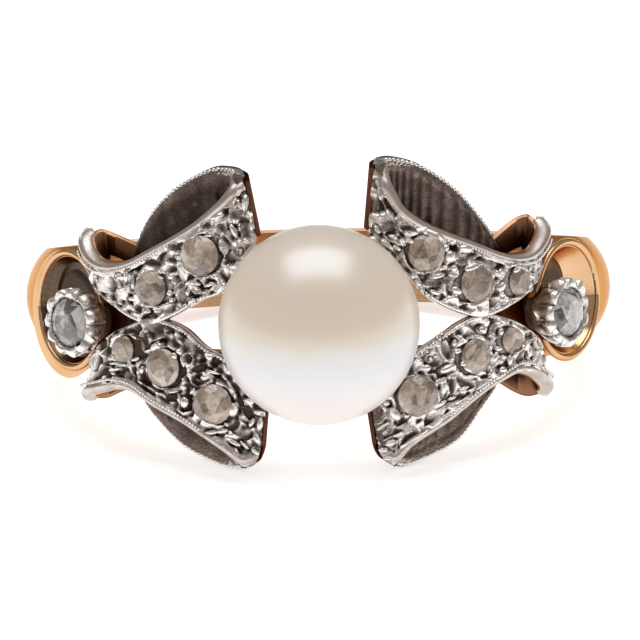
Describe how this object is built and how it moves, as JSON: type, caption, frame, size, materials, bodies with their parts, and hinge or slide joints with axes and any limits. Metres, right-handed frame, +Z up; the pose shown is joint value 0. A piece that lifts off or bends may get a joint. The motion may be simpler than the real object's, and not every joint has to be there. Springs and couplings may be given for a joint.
{
  "type": "pearl and diamond ring",
  "caption": "Gold finger ring with a round pearl between two silver-topped ribbon bows set with diamonds, and a beaded coronet on each shoulder.",
  "frame": {"origin": "centre of the bounding box's bottom face, on the surface the ring lies on", "axes": "+X across the finger from one shoulder to the other; +Y from the pearl towards the back of the band; +Z up, close to the finger hole's axis"},
  "size_m": [0.0212, 0.0262, 0.011],
  "materials": {
    "gold": "polished rose-yellow gold",
    "backing_gold": "worn coppery gold",
    "carved_silver": "carved and milgrained old silver",
    "dish_silver": "dark oxidised silver",
    "coronet_silver": "beaded old silver",
    "pearl": "pearl lustre",
    "stone": "old-cut diamond"
  },
  "bodies": {
    "root": {"shank": "gold", "pearl": "pearl", "bow_left": "carved_silver", "bow_right": "carved_silver", "backing_left": "backing_gold", "backing_right": "backing_gold", "dish_left": "dish_silver", "dish_right": "dish_silver", "coronet_left": "coronet_silver", "coronet_right": "coronet_silver", "stone_coronet_left": "stone", "stone_coronet_right": "stone", "stone_ul_1": "stone", "stone_ul_2": "stone", "stone_ll_1": "stone", "stone_ll_2": "stone", "stone_ll_3": "stone", "stone_ur_1": "stone", "stone_ur_2": "stone", "stone_ur_3": "stone", "stone_lr_1": "stone", "stone_lr_2": "stone", "stone_lr_3": "stone"}
  },
  "joints": []
}
